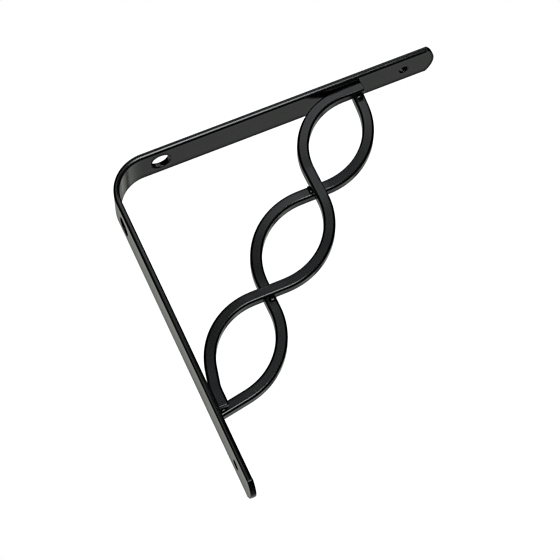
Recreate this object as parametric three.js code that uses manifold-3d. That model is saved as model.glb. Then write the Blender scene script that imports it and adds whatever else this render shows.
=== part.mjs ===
// A shelf bracket: one flat steel bar bent into two arms, braced by two wavy square rods that cross each other.
// Millimetres, +X away from the wall along the shelf arm, +Z up, -Y towards the viewer.
// The origin is on the wall face, halfway between the two wall screws.
import * as THREE from 'three';
import { mergeVertices } from 'three/addons/utils/BufferGeometryUtils.js';
import Module from 'manifold-3d';

const wasm = await Module();
wasm.setup();

// The bar
const barWidth = 20;
const barThickness = 3;
const barEdge = 0.5; // rounding of the bar's long edges
const bendRadius = 22; // outside of the bend between the arms
const shelfArm = 190; // from the wall to the nose of the shelf arm
const wallArm = 190; // from the shelf down to the nose of the wall arm
const noseRadius = 14; // arc that the end of each arm is cut to

// The screw holes, on the middle line of each arm
const largeHole = 10.5; // diameter, near the bend
const smallHole = 5; // diameter, near the nose
const smallHoleFromNose = 18;
const largeHoleFromBend = { shelf: 10, wall: 8.5 }; // past the end of the bend

// The rods
const rodSize = 6; // square
const rodCorner = 1; // rounding of the rod's four long edges
const rodBend = 38; // radius of the bends, on the middle line
const frontEndBend = 35; // radius of the first and last bend of the front rod
const bareEnd = 46.3; // length of arm left free past the rods' joints
const firstRun = 4.5; // where the wave would start, from the outside of each arm
const skew = { front: 1.7, back: 0.8 }; // the bends sit this much farther out than down
const frontTail = { shelf: 2.4, wall: 0.4 }; // the front rod runs on past the joint of the back one
const frontFlat = 11; // the front rod's lower end lies along the wall arm for this length
const footBend = 20; // radius of the slight bend where it leaves the wall arm
const frontLean = 8.9; // from there it leans out by this much up to its first bend
const backPull = { shelf: 3.7, wall: 8.2 }; // the back rod's last bends stop short of its joints

// How finely round forms are cut
const bendSteps = 18;
const holeSides = 32;
const noseSides = 96;
const edgeSteps = 3; // in each rounding along the bar
const cornerSteps = 1; // in each half of a rod corner
const rodSteps = 96;
const overcut = 1; // how far a cutter reaches past what it cuts

// Places that follow from the sizes, measured from the corner where wall and shelf meet
const seat = barThickness + rodSize / 2; // middle line of a rod that lies along an arm
const reach = { x: shelfArm - bareEnd, z: wallArm - bareEnd };
const step = { x: (reach.x - firstRun) / 3, z: (reach.z - firstRun) / 3 };
const largeHoleAt = { x: bendRadius + largeHoleFromBend.shelf, z: bendRadius + largeHoleFromBend.wall };
const smallHoleAt = { x: shelfArm - smallHoleFromNose, z: wallArm - smallHoleFromNose };
const originBelowShelf = (largeHoleAt.z + smallHoleAt.z) / 2;

const blackPaint = new THREE.MeshStandardMaterial({ color: 0x2b2c2d, roughness: 0.4, metalness: 0.0 });

// A closed three.js geometry as a solid that can be joined and cut
function solid(geometry) {
  const bare = geometry.clone();
  bare.deleteAttribute('normal');
  bare.deleteAttribute('uv');
  const merged = mergeVertices(bare, 1e-4);
  return new wasm.Manifold(new wasm.Mesh({
    numProp: 3,
    vertProperties: new Float32Array(merged.attributes.position.array),
    triVerts: new Uint32Array(merged.index.array),
  }));
}

// A solid as a named mesh
function piece(name, shape, material) {
  const { vertProperties, triVerts } = shape.getMesh();
  const geometry = new THREE.BufferGeometry();
  geometry.setAttribute('position', new THREE.BufferAttribute(vertProperties, 3));
  geometry.setIndex(new THREE.BufferAttribute(triVerts, 1));
  geometry.computeVertexNormals();
  const mesh = new THREE.Mesh(geometry, material);
  mesh.name = name;
  return mesh;
}

// A box between two corners
function block(from, to) {
  const size = [0, 1, 2].map((i) => to[i] - from[i]);
  const box = new THREE.BoxGeometry(...size);
  box.translate(...[0, 1, 2].map((i) => (from[i] + to[i]) / 2));
  return solid(box);
}

// A round bar through an arm: along Z through the shelf arm, along X through the wall arm
function pin(diameter, sides, arm, distance) {
  const round = new THREE.CylinderGeometry(diameter / 2, diameter / 2, barThickness + 2 * overcut, sides);
  if (arm === 'shelf') {
    round.rotateX(Math.PI / 2);
    round.translate(distance, 0, -barThickness / 2);
  } else {
    round.rotateZ(Math.PI / 2);
    round.translate(barThickness / 2, 0, -distance);
  }
  return solid(round);
}

// What is cut off the end of an arm to leave its round nose
function noseCut(arm) {
  const length = arm === 'shelf' ? shelfArm : wallArm;
  const centre = length - noseRadius;
  const half = barWidth / 2 + overcut;
  const low = -overcut;
  const high = barThickness + overcut;
  const waste = arm === 'shelf'
    ? block([centre, -half, -high], [length + overcut, half, -low])
    : block([low, -half, -length - overcut], [high, half, -centre]);
  const keep = new THREE.CylinderGeometry(noseRadius, noseRadius, 4 * high, noseSides);
  if (arm === 'shelf') {
    keep.rotateX(Math.PI / 2);
    keep.translate(centre, 0, 0);
  } else {
    keep.rotateZ(Math.PI / 2);
    keep.translate(0, 0, -centre);
  }
  return waste.subtract(solid(keep));
}

// The bent bar: its side view, given the bar's width, then bored and trimmed
function makeStrap() {
  const side = new THREE.Shape();
  side.moveTo(shelfArm, 0);
  side.lineTo(bendRadius, 0);
  side.absarc(bendRadius, -bendRadius, bendRadius, Math.PI / 2, Math.PI, false);
  side.lineTo(0, -wallArm);
  side.lineTo(barThickness, -wallArm);
  side.lineTo(barThickness, -bendRadius);
  side.absarc(bendRadius, -bendRadius, bendRadius - barThickness, Math.PI, Math.PI / 2, true);
  side.lineTo(shelfArm, -barThickness);
  side.closePath();
  const bar = new THREE.ExtrudeGeometry(side, {
    depth: barWidth - 2 * barEdge,
    curveSegments: bendSteps,
    bevelEnabled: true,
    bevelThickness: barEdge,
    bevelSize: barEdge,
    bevelOffset: -barEdge,
    bevelSegments: edgeSteps,
  });
  bar.translate(0, 0, barEdge - barWidth / 2);
  bar.rotateX(Math.PI / 2);
  let strap = solid(bar);
  for (const [arm, axis] of [['shelf', 'x'], ['wall', 'z']]) {
    strap = strap.subtract(pin(largeHole, holeSides, arm, largeHoleAt[axis]));
    strap = strap.subtract(pin(smallHole, holeSides, arm, smallHoleAt[axis]));
    strap = strap.subtract(noseCut(arm));
  }
  return piece('strap', strap, blackPaint);
}

// A line through corner points [x, z] whose inner corners are rounded, each to its own radius
function bentLine(corners, radii) {
  const points = corners.map(([x, z]) => new THREE.Vector2(x, z));
  const path = new THREE.Path();
  path.moveTo(points[0].x, points[0].y);
  for (let i = 1; i < points.length - 1; i++) {
    const radius = radii[i - 1];
    const before = points[i].clone().sub(points[i - 1]).normalize();
    const after = points[i + 1].clone().sub(points[i]).normalize();
    const turn = Math.atan2(before.cross(after), before.dot(after));
    const cut = radius * Math.tan(Math.abs(turn) / 2);
    const start = points[i].clone().addScaledVector(before, -cut);
    const side = Math.sign(turn);
    const centre = start.clone().add(new THREE.Vector2(-before.y, before.x).multiplyScalar(side * radius));
    const from = Math.atan2(start.y - centre.y, start.x - centre.x);
    path.lineTo(start.x, start.y);
    path.absarc(centre.x, centre.y, radius, from, from + turn, side < 0);
  }
  path.lineTo(points.at(-1).x, points.at(-1).y);
  return path;
}

// The middle line of a rod in space, at depth y
class RodLine extends THREE.Curve {
  constructor(path, y) {
    super();
    this.path = path;
    this.y = y;
  }

  getPoint(t, target = new THREE.Vector3()) {
    const { x, y: z } = this.path.getPointAt(t);
    return target.set(x, this.y, z);
  }
}

// The rod's section: a square with rounded corners
function rodSection() {
  const half = rodSize / 2;
  const inner = half - rodCorner;
  const section = new THREE.Shape();
  section.absarc(inner, inner, rodCorner, 0, Math.PI / 2, false);
  section.absarc(-inner, inner, rodCorner, Math.PI / 2, Math.PI, false);
  section.absarc(-inner, -inner, rodCorner, Math.PI, 1.5 * Math.PI, false);
  section.absarc(inner, -inner, rodCorner, 1.5 * Math.PI, 2 * Math.PI, false);
  section.closePath();
  return section;
}

// A rod bent along the corner points, with anything that would enter an arm cut off flush
function makeRod(name, corners, radii, y) {
  const rod = new THREE.ExtrudeGeometry(rodSection(), {
    steps: rodSteps,
    curveSegments: cornerSteps,
    bevelEnabled: false,
    extrudePath: new RodLine(bentLine(corners, radii), y),
  });
  const half = barWidth;
  const insideWall = block([-half, -half, -wallArm], [barThickness, half, 0]);
  const insideShelf = block([0, -half, -barThickness], [shelfArm, half, half]);
  return piece(name, solid(rod).subtract(insideWall).subtract(insideShelf), blackPaint);
}

// The front rod: up along the wall arm, out, up again and along the shelf arm
function makeFrontRod() {
  const out = reach.x - step.x + skew.front;
  const down = reach.z - step.z - skew.front;
  const bottom = reach.z + frontTail.wall;
  const corners = [
    [seat, -bottom],
    [seat, frontFlat - bottom],
    [seat + frontLean, -down],
    [out, -down],
    [out, -seat],
    [reach.x + frontTail.shelf, -seat],
  ];
  return makeRod('front_rod', corners, [footBend, frontEndBend, rodBend, frontEndBend], -rodSize / 2);
}

// The back rod: out from the wall arm, up, out again and up to the shelf arm
function makeBackRod() {
  const out = reach.x - 2 * step.x + skew.back;
  const down = reach.z - 2 * step.z - skew.back;
  const inside = barThickness / 2;
  const corners = [
    [inside, -reach.z],
    [out, -reach.z + backPull.wall],
    [out, -down],
    [reach.x - backPull.shelf, -down],
    [reach.x, -inside],
  ];
  return makeRod('back_rod', corners, [rodBend, rodBend, rodBend], rodSize / 2);
}

const bracket = new THREE.Group();
bracket.name = 'shelf_bracket';
bracket.position.z = originBelowShelf;
bracket.add(makeStrap(), makeFrontRod(), makeBackRod());

export default bracket;
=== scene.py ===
import math

import bmesh
import bpy
import numpy as np
from mathutils import Matrix, Vector, noise
from mathutils.geometry import delaunay_2d_cdt


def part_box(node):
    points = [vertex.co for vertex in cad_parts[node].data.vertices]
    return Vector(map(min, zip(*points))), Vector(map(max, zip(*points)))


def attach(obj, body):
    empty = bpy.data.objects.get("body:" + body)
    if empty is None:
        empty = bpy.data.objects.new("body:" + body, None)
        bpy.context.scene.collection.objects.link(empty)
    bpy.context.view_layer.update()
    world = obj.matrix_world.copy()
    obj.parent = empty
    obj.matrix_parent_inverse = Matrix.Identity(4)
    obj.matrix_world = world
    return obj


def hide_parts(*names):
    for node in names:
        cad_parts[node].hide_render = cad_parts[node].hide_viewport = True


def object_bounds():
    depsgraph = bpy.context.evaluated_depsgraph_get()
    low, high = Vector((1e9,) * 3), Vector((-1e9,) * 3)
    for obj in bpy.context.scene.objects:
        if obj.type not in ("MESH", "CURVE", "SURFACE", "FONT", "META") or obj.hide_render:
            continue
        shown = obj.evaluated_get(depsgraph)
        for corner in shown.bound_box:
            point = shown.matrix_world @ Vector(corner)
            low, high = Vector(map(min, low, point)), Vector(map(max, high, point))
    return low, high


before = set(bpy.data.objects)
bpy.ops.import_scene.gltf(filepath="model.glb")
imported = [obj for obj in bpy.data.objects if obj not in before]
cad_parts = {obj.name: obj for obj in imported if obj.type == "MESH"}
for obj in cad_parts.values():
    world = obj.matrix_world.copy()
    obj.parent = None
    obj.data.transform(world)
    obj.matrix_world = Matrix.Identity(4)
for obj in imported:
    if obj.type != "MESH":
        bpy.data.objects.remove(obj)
cad_low, cad_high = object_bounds()

# The bar, with what the frame gives
strap_low, strap_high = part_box("strap")
bar_width = strap_high.y - strap_low.y
shelf_arm = strap_high.x - strap_low.x
wall_arm = strap_high.z - strap_low.z
bar_thickness = 0.003
bend_radius = 0.022  # outside of the bend
nose_radius = 0.014
nose_corner = 0.0005  # rounding where the nose's arc meets the long edge
nose_run_in = 0.0012  # length over which the long edge's shape gives way to the nose's
large_hole = 0.0105  # near the bend
small_hole = 0.005  # near the nose
small_hole_from_nose = 0.018
large_hole_from_bend = {"shelf": 0.010, "wall": 0.0085}  # past the end of the bend

# The bar's edges: crowned, and leaning one way because the bar was sheared from sheet
edge_corner = 0.0004
edge_crown = math.radians(30)
edge_lean = math.radians(14)
cut_nose_corner = 0.0003  # the noses, cut off afterwards, are nearly square
cut_nose_crown = math.radians(6)
rim_corner = 0.0005  # where the holes were punched
rim_crown = math.radians(2)
coat = 0.0001  # thickness of the powder coat, which lies outside the bar and the rods
peel_depth = 0.000004  # depth of the coat's orange peel

# The rods
rod_size = 0.006
rod_corner = 0.0012
rod_bend = 0.038  # radius of the bends, on the middle line
front_end_bend = 0.035  # radius of the front rod's first and last wave bend
bare_end = 0.0463  # length of arm left free past the rods' joints
first_run = 0.0045  # where the wave would start, from the outside of each arm
skew = {"front": 0.0017, "back": 0.0008}  # the bends sit this much farther out than down
front_tail = {"shelf": 0.0024, "wall": 0.0004}  # the front rod runs on past the joint of the back one
front_flat = 0.011  # the front rod's lower end lies along the wall arm for this length
foot_bend = 0.020  # radius of the slight bend where it leaves the wall arm
front_lean = 0.0089  # from there it leans out by this much up to its first wave bend
back_pull = {"shelf": 0.0037, "wall": 0.0082}  # the back rod's last bends stop short of its joints
cut_corner = 0.0006  # rounding of a rod's sawn end under the coat
thickening = 0.5  # how much of the stretch and squeeze of a bend shows in the rod's depth
bend_run_in = 0.004  # length over which a rod's bend begins

# The welds
bead_ripple = 0.015  # height of the ripples along a bead, as a share of its girth
bead_ripple_gap = 0.0011
bead_lump_gap = 0.0021
bead_tip = 0.2  # how far a bead's ends stick out, as a share of the girth
bead_girth = 0.0012  # half the width of most beads
bead_lumps = 0.3  # how uneven most beads are, as a share of the girth
back_bead_half = 0.0026  # half the length of most beads on the hidden side

# Places that follow, measured from the corner where wall and shelf meet
seat = bar_thickness + rod_size / 2
reach_out = shelf_arm - bare_end
reach_down = wall_arm - bare_end
step_out = (reach_out - first_run) / 3
step_down = (reach_down - first_run) / 3

# How finely the surfaces are divided: counts, and gaps in metres
profile_steps = 8
bend_stations = 90
arm_station_gap = 0.006
nose_steps = 48
hole_steps = 72
face_rows = 9
rod_station_gap = 0.0006
rod_corner_steps = 8
bead_rings = 26
bead_sides = 24
same_point = 1e-7  # points of a face nearer than this are one

# The studio
lamp_distance = 1.6
cool_white = (0.95, 0.98, 1.0)
floor_drop = 1.1  # the floor lies this far below the bracket's origin
floor_half = 8
display_gamma = 2.2


def from_corner(points):
    """Moves points from the corner of wall and shelf into the bracket's frame."""
    return np.asarray(points, float) + [strap_low.x, 0, strap_high.z]


def solid_mesh(name, points, normals, faces, material):
    """A closed smooth piece whose surface directions are known exactly."""
    mesh = bpy.data.meshes.new(name)
    mesh.from_pydata([tuple(p) for p in points], [], faces)
    cleaner = bmesh.new()
    cleaner.from_mesh(mesh)
    bmesh.ops.recalc_face_normals(cleaner, faces=cleaner.faces)
    cleaner.to_mesh(mesh)
    cleaner.free()
    mesh.shade_smooth()
    if normals is not None:
        mesh.normals_split_custom_set_from_vertices([tuple(n) for n in normals])
    mesh.materials.append(material)
    piece = bpy.data.objects.new(name, mesh)
    bpy.context.scene.collection.objects.link(piece)
    return piece


def finish_piece(piece, *nodes):
    """Fixes a piece to the bracket and, where it stands for solids, hides them."""
    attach(piece, "root")
    if nodes:
        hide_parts(*nodes)
    return piece


# The flat bar before it is bent


def edge_profile(corner, crown, lean):
    """The bar's edge seen from its end, top to bottom: how far in, how high, and the way the surface faces."""
    low = -lean - crown
    high = -lean + crown
    turn = math.sin(high) - math.sin(low)
    flank = (bar_thickness - corner * (2 - turn)) / turn
    flank_centre = np.array([-flank, bar_thickness / 2 - corner * (1 - math.sin(high)) - flank * math.sin(high)])
    top_centre = flank_centre + (flank - corner) * np.array([math.cos(high), math.sin(high)])
    bottom_centre = flank_centre + (flank - corner) * np.array([math.cos(low), math.sin(low)])
    stretches = [
        (top_centre, corner, math.pi / 2, high),
        (flank_centre, flank, high, low),
        (bottom_centre, corner, low, -math.pi / 2),
    ]
    rows = []
    for centre, radius, start, end in stretches:
        first = 1 if rows else 0
        for k in range(first, profile_steps + 1):
            angle = start + (end - start) * k / profile_steps
            out, height = centre + radius * np.array([math.cos(angle), math.sin(angle)])
            rows.append((-out, height, angle))
    return rows


def nose_side(end):
    """One end of the flat bar, from its front edge round to its back edge, as (along, across, facing along, across)."""
    half = bar_width / 2
    centre = end - nose_radius
    corner_out = half - nose_corner
    corner_along = math.sqrt((nose_radius - nose_corner) ** 2 - corner_out**2)
    meets = math.atan2(corner_out, corner_along)
    arcs = [
        (centre + corner_along, -corner_out, nose_corner, -math.pi / 2, -meets, profile_steps),
        (centre, 0, nose_radius, -meets, meets, nose_steps),
        (centre + corner_along, corner_out, nose_corner, meets, math.pi / 2, profile_steps),
    ]
    rows = []
    for along, across, radius, start, end_angle, steps in arcs:
        for k in range(1 if rows else 0, steps + 1):
            angle = start + (end_angle - start) * k / steps
            facing = (math.cos(angle), math.sin(angle))
            rows.append((along + radius * facing[0], across + radius * facing[1], *facing))
    return rows


def hole_rim(along, diameter):
    """A punched hole's edge, facing its middle."""
    rows = []
    for k in range(hole_steps):
        angle = 2 * math.pi * k / hole_steps
        facing = (-math.cos(angle), -math.sin(angle))
        rows.append((along - facing[0] * diameter / 2, -facing[1] * diameter / 2, *facing))
    return rows


middle_radius = bend_radius - bar_thickness / 2
bend_length = middle_radius * math.pi / 2
shelf_nose = bend_radius - shelf_arm  # lengths along the bar start where its bend starts, on the shelf's side
wall_nose = bend_length + wall_arm - bend_radius


def bar_stations():
    """Lengths along the bar where its surface is divided: close together in the bend."""
    straight = nose_side(0)[0][0]
    shelf_run = np.linspace(shelf_nose - straight, 0, round(shelf_arm / arm_station_gap))
    bend_run = np.linspace(0, bend_length, bend_stations + 1)
    wall_run = np.linspace(bend_length, wall_nose + straight, round(wall_arm / arm_station_gap))
    shelf_run = np.insert(shelf_run, 1, shelf_run[0] + nose_run_in)
    wall_run = np.insert(wall_run, -1, wall_run[-1] - nose_run_in)
    return np.concatenate([shelf_run, bend_run[1:], wall_run[1:]])


def bar_outline():
    """The flat bar's outline, counterclockwise, as (along, across, facing along, facing across)."""
    stations = bar_stations()[1:-1]
    half = bar_width / 2
    wall_end = nose_side(wall_nose)
    shelf_end = [(-a, -b, -c, -d) for a, b, c, d in nose_side(-shelf_nose)]
    front = [(s, -half, 0, -1) for s in stations]
    back = [(s, half, 0, 1) for s in stations[::-1]]
    return np.array(front + wall_end + back + shelf_end)


def bar_holes():
    """The four screw holes: where along the flat bar, and how wide."""
    return [
        (-large_hole_from_bend["shelf"], large_hole),
        (shelf_nose + small_hole_from_nose, small_hole),
        (bend_length + large_hole_from_bend["wall"], large_hole),
        (wall_nose - small_hole_from_nose, small_hole),
    ]


def bend_bar(points, normals):
    """Takes the flat bar (along, across, height) round its bend, into (x, y, z) from the corner."""
    along, across, height = points.T
    turned = np.clip(along, 0, bend_length) / middle_radius
    past_shelf = np.minimum(along, 0)
    past_bend = np.maximum(along - bend_length, 0)
    radius = middle_radius + height
    x = bend_radius - radius * np.sin(turned) - past_shelf
    z = -bend_radius + radius * np.cos(turned) - past_bend
    forward = np.stack([-np.cos(turned), 0 * turned, -np.sin(turned)], 1)
    outward = np.stack([-np.sin(turned), 0 * turned, np.cos(turned)], 1)
    sideways = np.tile([0, 1, 0], (len(turned), 1))
    bent = normals[:, :1] * forward + normals[:, 1:2] * sideways + normals[:, 2:] * outward
    return np.stack([x, across, z], 1), bent


def cover_face(rings, inside_points, holes):
    """Triangles that fill the bar's broad face between its outline and its holes."""
    flat = [tuple(p) for ring in rings for p in ring] + [tuple(p) for p in inside_points]
    edges = []
    start = 0
    for ring in rings:
        count = len(ring)
        edges += [(start + k, start + (k + 1) % count) for k in range(count)]
        start += count
    verts, _, faces, from_verts, _, _ = delaunay_2d_cdt([Vector(p) for p in flat], edges, [], 1, same_point)
    source = [ids[0] for ids in from_verts]
    kept = []
    for face in faces:
        middle = sum((verts[i] for i in face), Vector((0, 0))) / len(face)
        if all((middle - Vector((along, 0))).length > width / 2 for along, width in holes):
            kept.append([source[i] for i in face])
    return kept


def outline_profile(point):
    """The edge's shape at a point of the outline: square at the noses, crowned and leaning along the bar."""
    straight = nose_side(0)[0][0]
    if shelf_nose - straight < point[0] < wall_nose + straight:
        return edge_profile(edge_corner, edge_crown, -edge_lean * point[3])
    return edge_profile(cut_nose_corner, cut_nose_crown, 0)


def make_strap(material):
    """The bent bar, with round edges, noses and four holes."""
    holes = bar_holes()
    outline = bar_outline()
    loops = [(outline, [outline_profile(point) for point in outline])]
    for along, width in holes:
        loops.append((hole_rim(along, width), [edge_profile(rim_corner, rim_crown, 0)] * hole_steps))
    points, normals, faces = [], [], []
    face_rings = {"top": [], "bottom": []}
    face_ids = {"top": [], "bottom": []}
    for loop, profiles in loops:
        count = len(loop)
        first = len(points)
        rings = len(profiles[0])
        for row in range(rings):
            for (along, across, facing_along, facing_across), profile in zip(loop, profiles):
                inset, height, angle = profile[row]
                points.append((along - inset * facing_along, across - inset * facing_across, height))
                level = math.cos(angle)
                normals.append((level * facing_along, level * facing_across, math.sin(angle)))
        for row in range(rings - 1):
            for k in range(count):
                a = first + row * count + k
                b = first + row * count + (k + 1) % count
                faces.append((a, a + count, b + count, b))
        for side, row in (("top", 0), ("bottom", rings - 1)):
            ids = list(range(first + row * count, first + (row + 1) * count))
            face_ids[side] += ids
            face_rings[side].append([points[i][:2] for i in ids])
    rows = np.linspace(-bar_width / 2, bar_width / 2, face_rows + 2)[1:-1]
    inside = [(s, y) for s in np.linspace(0, bend_length, bend_stations + 1) for y in rows]
    for side, height in (("top", bar_thickness / 2), ("bottom", -bar_thickness / 2)):
        ids = face_ids[side] + list(range(len(points), len(points) + len(inside)))
        for s, y in inside:
            points.append((s, y, height))
            normals.append((0, 0, math.copysign(1, height)))
        faces += [[ids[i] for i in face] for face in cover_face(face_rings[side], inside, holes)]
    normals = np.array(normals)
    bent, facing = bend_bar(np.array(points) + coat * normals, normals)
    strap = solid_mesh("bent_bar", from_corner(bent), facing, faces, material)
    return finish_piece(strap, "strap")


# The rods


def bent_line(corners, radii):
    """Stations along a line through corner points [x, z] with rounded corners: place, direction, curvature, length."""
    corners = [np.array(c, float) for c in corners]
    place = corners[0]
    stretches = []
    for k in range(1, len(corners) - 1):
        before = corners[k] - corners[k - 1]
        after = corners[k + 1] - corners[k]
        before /= np.linalg.norm(before)
        after /= np.linalg.norm(after)
        turn = math.atan2(before[0] * after[1] - before[1] * after[0], before @ after)
        radius = radii[k - 1]
        start = corners[k] - before * radius * math.tan(abs(turn) / 2)
        stretches.append((place, before, np.linalg.norm(start - place), 0))
        stretches.append((start, before, radius * abs(turn), math.copysign(1 / radius, turn)))
        place = corners[k] + after * radius * math.tan(abs(turn) / 2)
    last = corners[-1] - corners[-2]
    last /= np.linalg.norm(last)
    stretches.append((place, last, np.linalg.norm(corners[-1] - place), 0))
    places, directions, curvatures, lengths = [], [], [], []
    done = 0
    for start, direction, length, curvature in stretches:
        across = np.array([-direction[1], direction[0]])
        steps = max(1, round(length / rod_station_gap))
        for k in range(1 if places else 0, steps + 1):
            run = length * k / steps
            angle = curvature * run
            if curvature:
                moved = direction * math.sin(angle) / curvature + across * (1 - math.cos(angle)) / curvature
            else:
                moved = direction * run
            places.append(start + moved)
            directions.append(direction * math.cos(angle) + across * math.sin(angle))
            curvatures.append(curvature)
            lengths.append(done + run)
        done += length
    return np.array(places), np.array(directions), np.array(curvatures), np.array(lengths)


def rod_section(inset):
    """The rod's section set in by inset: (across, deep, facing across, facing deep), all the way round."""
    half = rod_size / 2 + coat - inset
    corner = max(rod_corner + coat - inset, rod_corner / 4)
    rows = []
    for quarter in range(4):
        middle_angle = math.pi / 4 + quarter * math.pi / 2
        centre = (half - corner) * math.sqrt(2) * np.array([math.cos(middle_angle), math.sin(middle_angle)])
        for k in range(rod_corner_steps + 1):
            angle = middle_angle - math.pi / 4 + math.pi / 2 * k / rod_corner_steps
            facing = np.array([math.cos(angle), math.sin(angle)])
            rows.append((*(centre + corner * facing), *facing))
    return np.array(rows)


def round_cut_end(rings, sense):
    """Gives the end at the last ring the round edge of a sawn end. Sense is -1 where the list runs against the rod."""
    place, direction, curvature = rings[-1][:3]
    outwards = sense * direction
    edge = place - cut_corner * outwards
    rings = [ring for ring in rings if (place - ring[0]) @ outwards > cut_corner]
    rings.append((edge, direction, curvature, 0.0, 0.0))
    for k in range(1, rod_corner_steps + 1):
        turn = math.pi / 2 * k / rod_corner_steps
        inset = cut_corner * (1 - math.cos(turn))
        rings.append((edge + outwards * cut_corner * math.sin(turn), direction, curvature, inset, sense * turn))
    return rings


def sweep_rod(name, corners, radii, depth, ends, material):
    """A square rod along a bent line at one depth. An end is cut square, or butts on the wall or the shelf arm."""
    places, directions, curvatures, lengths = bent_line(corners, radii)
    even = np.arange(0, lengths[-1], rod_station_gap)
    window = max(1, round(bend_run_in / rod_station_gap))
    eased = np.convolve(np.interp(even, lengths, curvatures), np.ones(window) / window, "same")
    curvatures = np.interp(lengths, even, eased)
    rings = [(*station, 0.0, 0.0) for station in zip(places, directions, curvatures)]
    if ends[0] == "cut":
        rings = round_cut_end(rings[::-1], -1)[::-1]
    if ends[1] == "cut":
        rings = round_cut_end(rings, 1)
    points, normals = [], []
    for place, direction, curvature, inset, turn in rings:
        section = rod_section(inset)
        across = np.array([-direction[1], direction[0]])
        swell = 1 + thickening * curvature * section[:, 0]
        flat = place + section[:, :1] * across
        points.append(np.stack([flat[:, 0], depth + section[:, 1] * swell, flat[:, 1]], 1))
        face_across = section[:, 2] - section[:, 3] * section[:, 1] * thickening * curvature / swell
        face_deep = section[:, 3] / swell
        size = np.hypot(face_across, face_deep)
        level = math.cos(turn) / size
        ahead = math.sin(turn) * direction
        normals.append(np.stack([
            level * face_across * across[0] + ahead[0],
            level * face_deep,
            level * face_across * across[1] + ahead[1],
        ], 1))
    for end, ring in ((ends[0], 0), (ends[1], -1)):
        if end in ("wall", "shelf"):
            axis = 0 if end == "wall" else 2
            level = bar_thickness if end == "wall" else -bar_thickness
            direction = np.array([rings[ring][1][0], 0, rings[ring][1][1]])
            points[ring] = points[ring] + np.outer((level - points[ring][:, axis]) / direction[axis], direction)
    count = len(points[0])
    faces = []
    for row in range(len(points) - 1):
        for k in range(count):
            a = row * count + k
            b = row * count + (k + 1) % count
            faces.append((a, b, b + count, a + count))
    faces.append(list(range(count)))
    faces.append(list(range((len(points) - 1) * count, len(points) * count)))
    return solid_mesh(name, from_corner(np.concatenate(points)), np.concatenate(normals), faces, material)


def make_front_rod(material):
    """The front rod: up along the wall arm, out, up again and along under the shelf arm."""
    out = reach_out - step_out + skew["front"]
    down = reach_down - step_down - skew["front"]
    bottom = reach_down + front_tail["wall"]
    corners = [
        [seat, -bottom],
        [seat, front_flat - bottom],
        [seat + front_lean, -down],
        [out, -down],
        [out, -seat],
        [reach_out + front_tail["shelf"], -seat],
    ]
    radii = [foot_bend, front_end_bend, rod_bend, front_end_bend]
    rod = sweep_rod("front_wave_rod", corners, radii, -rod_size / 2, ("cut", "cut"), material)
    return finish_piece(rod, "front_rod")


def make_back_rod(material):
    """The back rod: out from the wall arm, up, out again and up to the shelf arm."""
    out = reach_out - 2 * step_out + skew["back"]
    down = reach_down - 2 * step_down - skew["back"]
    corners = [
        [bar_thickness, -reach_down],
        [out, -reach_down + back_pull["wall"]],
        [out, -down],
        [reach_out - back_pull["shelf"], -down],
        [reach_out, -bar_thickness],
    ]
    rod = sweep_rod("back_wave_rod", corners, [rod_bend] * 3, rod_size / 2, ("wall", "shelf"), material)
    return finish_piece(rod, "back_rod")


# The welds


def weld_bead(name, place, axis, reach, girth, lumps, seed, material):
    """A short lumpy bead of weld under the coat. It runs past a place along an axis, from one reach to the other."""
    start, end = (Vector(place) + distance * Vector(axis) for distance in reach)
    run = end - start
    forward = run.normalized()
    aside = forward.orthogonal().normalized()
    upward = forward.cross(aside)
    shift = Vector((seed * 7.3, seed * 3.1, seed * 5.7))
    points = [start - forward * girth * bead_tip]
    for row in range(1, bead_rings):
        turn = math.pi * row / bead_rings
        middle = start + run * (1 - math.cos(turn)) / 2
        ripple = bead_ripple * math.sin(2 * math.pi * (middle - start).length / bead_ripple_gap + seed)
        for k in range(bead_sides):
            angle = 2 * math.pi * k / bead_sides
            out = aside * math.cos(angle) + upward * math.sin(angle)
            lump = lumps * noise.noise((middle + out * girth) / bead_lump_gap + shift)
            points.append(middle + out * girth * math.sin(turn) ** 0.5 * (1 + ripple + lump))
    points.append(end + forward * girth * bead_tip)
    last = len(points) - 1
    faces = []
    for k in range(bead_sides):
        after = (k + 1) % bead_sides
        faces.append((0, 1 + k, 1 + after))
        faces.append((last, last - bead_sides + after, last - bead_sides + k))
        for row in range(bead_rings - 2):
            a = 1 + row * bead_sides
            faces.append((a + k, a + after, a + bead_sides + after, a + bead_sides + k))
    bead = solid_mesh(name, from_corner([tuple(p) for p in points]), None, faces, material)
    return finish_piece(bead)


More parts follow.
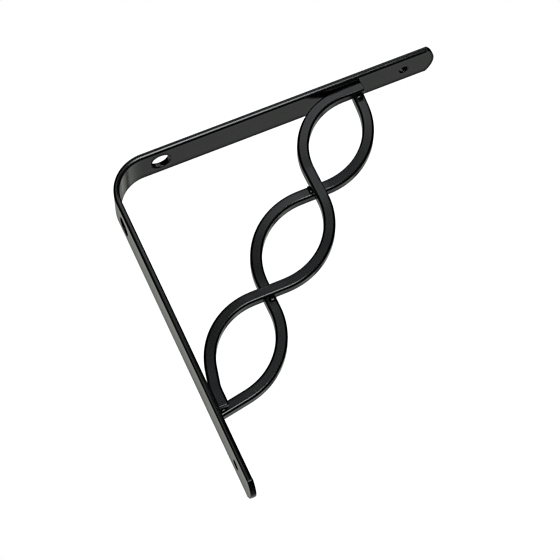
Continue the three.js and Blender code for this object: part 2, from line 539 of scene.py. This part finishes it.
def make_welds(material):
    """Beads where the rods cross and where they meet the arms. The ones on the hidden side are plainer."""
    half = rod_size / 2
    low_x = reach_out - 2 * step_out + skew["back"]
    low_z = -(reach_down - step_down - skew["front"])
    high_x = reach_out - step_out + skew["front"]
    high_z = -(reach_down - 2 * step_down - skew["back"])
    under_shelf_rod = -bar_thickness - rod_size
    foot_z = -(reach_down + front_tail["wall"])
    behind = rod_size
    outwards, upwards = (1, 0, 0), (0, 0, 1)
    back_reach = (-back_bead_half, back_bead_half)
    front_beads = [
        ("lower_crossing_weld", (low_x, -0.0002, low_z - half - 0.0004), outwards, (-0.0010, 0.0024), 0.0013, 0.04),
        ("upper_crossing_weld", (high_x - half - 0.0002, 0.0004, high_z), upwards, (0.0032, -0.0012), 0.0010, 0.3),
        ("shelf_joint_weld", (reach_out, -0.0002, under_shelf_rod - 0.0002), outwards, (-0.0024, 0.0014), 0.0012, 0.2),
        ("foot_weld", (bar_thickness, -0.0004, foot_z), outwards, (0.0014, 0.0048), 0.0010, 0.2),
    ]
    back_beads = [
        ("lower_crossing_back_weld", (low_x + half, 0.0003, low_z), upwards, back_reach),
        ("upper_crossing_back_weld", (high_x, 0.0003, high_z - half), outwards, back_reach),
        ("shelf_joint_back_weld", (reach_out, behind, -bar_thickness), outwards, back_reach),
        ("shelf_rod_back_weld", (reach_out, 0.0002, -bar_thickness - 0.0002), outwards, (-0.018, -0.010)),
        ("wall_joint_back_weld", (bar_thickness, behind, -reach_down), upwards, back_reach),
    ]
    for seed, bead in enumerate(front_beads, 1):
        weld_bead(*bead, seed, material)
    for seed, bead in enumerate(back_beads, len(front_beads) + 1):
        weld_bead(*bead, bead_girth, bead_lumps, seed, material)
    spot = (bar_thickness / 2, -bar_width / 2 + 0.0002, foot_z - 0.001)
    weld_bead("spatter", spot, outwards, (0, 0.0006), 0.0006, bead_lumps, 11, material)


# The finish


def new_socket(group, name, kind, direction, value=None):
    """An input or output of a node group."""
    socket = group.interface.new_socket(name=name, in_out=direction, socket_type=kind)
    if value is not None:
        socket.default_value = value


def new_node(nodes, kind, values=None):
    """A node with values set on the inputs that they name."""
    node = nodes.new(kind)
    for name, value in (values or {}).items():
        node.inputs[name].default_value = value
    return node


def powder_film_group():
    """How cured powder lies on steel: a soft orange peel, a fine grain and cloudy differences in tone and gloss."""
    group = bpy.data.node_groups.new("powder_film", "ShaderNodeTree")
    new_socket(group, "Dark Tone", "NodeSocketColor", "INPUT", (0.01, 0.01, 0.01, 1))
    new_socket(group, "Light Tone", "NodeSocketColor", "INPUT", (0.015, 0.015, 0.015, 1))
    new_socket(group, "Smoothest", "NodeSocketFloat", "INPUT", 0.28)
    new_socket(group, "Roughest", "NodeSocketFloat", "INPUT", 0.36)
    new_socket(group, "Peel Density", "NodeSocketFloat", "INPUT", 450)
    new_socket(group, "Grain Density", "NodeSocketFloat", "INPUT", 2200)
    new_socket(group, "Grain Share", "NodeSocketFloat", "INPUT", 0.2)
    new_socket(group, "Tone", "NodeSocketColor", "OUTPUT")
    new_socket(group, "Gloss", "NodeSocketFloat", "OUTPUT")
    new_socket(group, "Height", "NodeSocketFloat", "OUTPUT")
    nodes, link = group.nodes, group.links.new
    given = new_node(nodes, "NodeGroupInput")
    result = new_node(nodes, "NodeGroupOutput")
    where = new_node(nodes, "ShaderNodeTexCoord")

    peel = new_node(nodes, "ShaderNodeTexNoise", {"Detail": 1.5})
    grain = new_node(nodes, "ShaderNodeTexNoise", {"Detail": 3})
    cloud = new_node(nodes, "ShaderNodeTexNoise", {"Scale": 60, "Detail": 4})
    for pattern in (peel, grain, cloud):
        link(where.outputs["Object"], pattern.inputs["Vector"])
    link(given.outputs["Peel Density"], peel.inputs["Scale"])
    link(given.outputs["Grain Density"], grain.inputs["Scale"])

    mottle = new_node(nodes, "ShaderNodeMath", {1: 0.4})
    mottle.operation = "MULTIPLY_ADD"
    link(grain.outputs["Fac"], mottle.inputs[0])
    link(cloud.outputs["Fac"], mottle.inputs[2])
    spread = new_node(nodes, "ShaderNodeMapRange", {"From Min": 0.45, "From Max": 0.95})
    link(mottle.outputs[0], spread.inputs["Value"])

    tone = new_node(nodes, "ShaderNodeMix")
    tone.data_type = "RGBA"
    link(spread.outputs[0], tone.inputs["Factor"])
    link(given.outputs["Dark Tone"], tone.inputs[6])
    link(given.outputs["Light Tone"], tone.inputs[7])
    link(tone.outputs[2], result.inputs["Tone"])

    gloss = new_node(nodes, "ShaderNodeMapRange")
    link(spread.outputs[0], gloss.inputs["Value"])
    link(given.outputs["Smoothest"], gloss.inputs["To Min"])
    link(given.outputs["Roughest"], gloss.inputs["To Max"])
    link(gloss.outputs[0], result.inputs["Gloss"])

    height = new_node(nodes, "ShaderNodeMix")
    height.data_type = "FLOAT"
    link(given.outputs["Grain Share"], height.inputs["Factor"])
    link(peel.outputs["Fac"], height.inputs[2])
    link(grain.outputs["Fac"], height.inputs[3])
    link(height.outputs[0], result.inputs["Height"])
    return group


def coat_material(name, film, dark, light):
    """Black semi-gloss powder coat, mottled at random between the dark and light tone given. In the rods' copy these
    tones also carry a painted cool tint.
    """
    material = bpy.data.materials.new(name)
    material.use_nodes = True
    nodes, link = material.node_tree.nodes, material.node_tree.links.new
    shader = nodes["Principled BSDF"]
    shader.inputs["IOR"].default_value = 1.5
    surface = new_node(nodes, "ShaderNodeGroup")
    surface.node_tree = film
    tones = {"Dark Tone": (*dark, 1), "Light Tone": (*light, 1), "Smoothest": 0.15, "Roughest": 0.21}
    for socket, value in tones.items():
        surface.inputs[socket].default_value = value
    bump = new_node(nodes, "ShaderNodeBump", {"Strength": 1, "Distance": peel_depth})
    link(surface.outputs["Tone"], shader.inputs["Base Color"])
    link(surface.outputs["Gloss"], shader.inputs["Roughness"])
    link(surface.outputs["Height"], bump.inputs["Height"])
    link(bump.outputs["Normal"], shader.inputs["Normal"])
    return material


# The studio


def pale_floor():
    """A plain pale paper floor well below the bracket, which hangs at shelf height.

    The camera sees it plain. What the coat mirrors of it is dimmer, and darkest near the viewer.
    """
    low, high = -floor_half, floor_half
    corners = [(x, y, -floor_drop) for x, y in ((low, low), (high, low), (high, high), (low, high))]
    mesh = bpy.data.meshes.new("floor")
    mesh.from_pydata(corners, [], [(0, 1, 2, 3)])
    floor = bpy.data.objects.new("floor", mesh)
    bpy.context.scene.collection.objects.link(floor)
    paper = bpy.data.materials.new("pale_paper")
    paper.use_nodes = True
    nodes, link = paper.node_tree.nodes, paper.node_tree.links.new
    nodes.clear()
    seen = new_node(nodes, "ShaderNodeLightPath")
    where = new_node(nodes, "ShaderNodeTexCoord")
    parts = new_node(nodes, "ShaderNodeSeparateXYZ")
    to_glow = {"From Min": 0.1, "From Max": 4.5, "To Min": 0.04, "To Max": 0.75}
    fade = new_node(nodes, "ShaderNodeMapRange", to_glow)
    plain = new_node(nodes, "ShaderNodeEmission", {"Color": (0.9, 0.9, 0.89, 1)})
    glow = new_node(nodes, "ShaderNodeEmission", {"Color": (0.96, 1, 0.96, 1)})
    choose = new_node(nodes, "ShaderNodeMixShader")
    output = new_node(nodes, "ShaderNodeOutputMaterial")
    link(where.outputs["Object"], parts.inputs[0])
    link(parts.outputs["Y"], fade.inputs["Value"])
    link(fade.outputs[0], glow.inputs["Strength"])
    link(seen.outputs["Is Camera Ray"], choose.inputs[0])
    link(glow.outputs[0], choose.inputs[1])
    link(plain.outputs[0], choose.inputs[2])
    link(choose.outputs[0], output.inputs[0])
    mesh.materials.append(paper)


def soft_box(name, azimuth, elevation, width, height, radiance, tint=cool_white):
    """A flat soft light facing the bracket. Azimuth 0 is straight in front of it, positive to its right."""
    light = bpy.data.lights.new(name, "AREA")
    light.shape = "RECTANGLE"
    light.size = width
    light.size_y = height
    light.energy = radiance * math.pi * width * height
    light.color = tint
    lamp = bpy.data.objects.new(name, light)
    bpy.context.scene.collection.objects.link(lamp)
    turn, rise = math.radians(azimuth), math.radians(elevation)
    towards = Vector((math.sin(turn) * math.cos(rise), -math.cos(turn) * math.cos(rise), math.sin(rise)))
    middle = (cad_low + cad_high) / 2
    lamp.location = middle + towards * lamp_distance
    lamp.visible_camera = False
    lamp.rotation_mode = "QUATERNION"
    lamp.rotation_quaternion = towards.to_track_quat("Z", "Y")


def white_surround():
    """White behind the bracket for the camera, and a grey card behind it for what its gloss mirrors."""
    card_middle = (-0.42, 0.88, 0.24)  # direction in which the card is lightest
    world = bpy.data.worlds.new("white_surround")
    bpy.context.scene.world = world
    world.use_nodes = True
    nodes, link = world.node_tree.nodes, world.node_tree.links.new
    nodes.clear()
    output = new_node(nodes, "ShaderNodeOutputWorld")
    seen = new_node(nodes, "ShaderNodeLightPath")
    choose = new_node(nodes, "ShaderNodeMixShader")
    paper = new_node(nodes, "ShaderNodeBackground", {"Color": (1, 1, 1, 1)})
    room = new_node(nodes, "ShaderNodeBackground", {"Color": (0.97, 1, 0.94, 1)})
    where = new_node(nodes, "ShaderNodeTexCoord")
    nearness = new_node(nodes, "ShaderNodeVectorMath", {1: card_middle})
    nearness.operation = "DOT_PRODUCT"
    card = new_node(nodes, "ShaderNodeMapRange", {"From Min": 0.4, "From Max": 0.97, "To Min": 0.02, "To Max": 0.455})
    card.interpolation_type = "SMOOTHSTEP"
    link(where.outputs["Generated"], nearness.inputs[0])
    link(nearness.outputs["Value"], card.inputs["Value"])
    link(card.outputs[0], room.inputs["Strength"])
    link(seen.outputs["Is Camera Ray"], choose.inputs[0])
    link(room.outputs[0], choose.inputs[1])
    link(paper.outputs[0], choose.inputs[2])
    link(choose.outputs[0], output.inputs[0])


def photo_camera():
    """The camera: in front of the bracket, a little to its left and well below it, turned about its own axis."""
    place = (-0.13303, -0.88229, -0.37771)
    turned_right = math.radians(12.361)
    looking_up = math.radians(23.282)
    rolled = math.radians(-26.630)
    lens = bpy.data.cameras.new("camera")
    lens.sensor_width = 36
    lens.lens = 125.362
    lens.clip_start = 0.05
    lens.clip_end = 50
    camera = bpy.data.objects.new("camera", lens)
    bpy.context.scene.collection.objects.link(camera)
    aim = Matrix.Rotation(-turned_right, 4, "Z") @ Matrix.Rotation(math.pi / 2 + looking_up, 4, "X")
    camera.matrix_world = Matrix.Translation(place) @ aim @ Matrix.Rotation(rolled, 4, "Z")
    bpy.context.scene.camera = camera


def sharpen_picture(share, reach):
    """The sharpening of a product picture: it adds a share of what sets the picture apart from a soft copy of itself.

    It is worked out in display tones, and the reach of the softness is in pixels.
    """
    scene = bpy.context.scene
    scene.use_nodes = True
    nodes, link = scene.node_tree.nodes, scene.node_tree.links.new
    nodes.clear()
    shot = new_node(nodes, "CompositorNodeRLayers")
    to_display = new_node(nodes, "CompositorNodeGamma", {"Gamma": 1 / display_gamma})
    soft = new_node(nodes, "CompositorNodeBlur")
    soft.filter_type = "GAUSS"
    soft.size_x = soft.size_y = reach
    detail = new_node(nodes, "CompositorNodeMixRGB", {"Fac": 1})
    detail.blend_type = "SUBTRACT"
    sharper = new_node(nodes, "CompositorNodeMixRGB", {"Fac": share})
    sharper.blend_type = "ADD"
    sharper.use_clamp = True
    to_light = new_node(nodes, "CompositorNodeGamma", {"Gamma": display_gamma})
    picture = new_node(nodes, "CompositorNodeComposite")
    link(shot.outputs["Image"], to_display.inputs["Image"])
    link(to_display.outputs[0], soft.inputs["Image"])
    link(to_display.outputs[0], detail.inputs[1])
    link(soft.outputs[0], detail.inputs[2])
    link(to_display.outputs[0], sharper.inputs[1])
    link(detail.outputs[0], sharper.inputs[2])
    link(sharper.outputs[0], to_light.inputs["Image"])
    link(to_light.outputs[0], picture.inputs["Image"])


photo_camera()
pale_floor()
white_surround()
soft_box("right_box", 38, 44, 1.5, 1.05, 1.2)
soft_box("camera_box", -1, -5, 0.95, 0.7, 8)
soft_box("front_fill", 4, 19, 0.8, 0.3, 0.35, (0.93, 0.97, 1.0))
soft_box("low_card", 152, 10, 1.1, 0.45, 0.38, (0.97, 1, 0.94))
soft_box("left_fill", -95, -22, 1.0, 0.6, 0.8, (1, 1, 1))

film = powder_film_group()
bar_coat = coat_material("bar_coat", film, (0.003, 0.003, 0.003), (0.005, 0.005, 0.005))
# Painted reflection tint: the rods' coat is the bar's coat with a little blue added, standing in for the cool light
# that the rods' faces mirror. The mottle between its two tones is the coat's own.
rod_coat_painted_cool_tint = coat_material("rod_coat_painted_cool_tint", film, (0.003, 0.003, 0.0035), (0.005, 0.005, 0.0055))
make_strap(bar_coat)
make_front_rod(rod_coat_painted_cool_tint)
make_back_rod(rod_coat_painted_cool_tint)
make_welds(rod_coat_painted_cool_tint)

bpy.context.scene.view_settings.view_transform = "Standard"
sharpen_picture(0.4, 4)
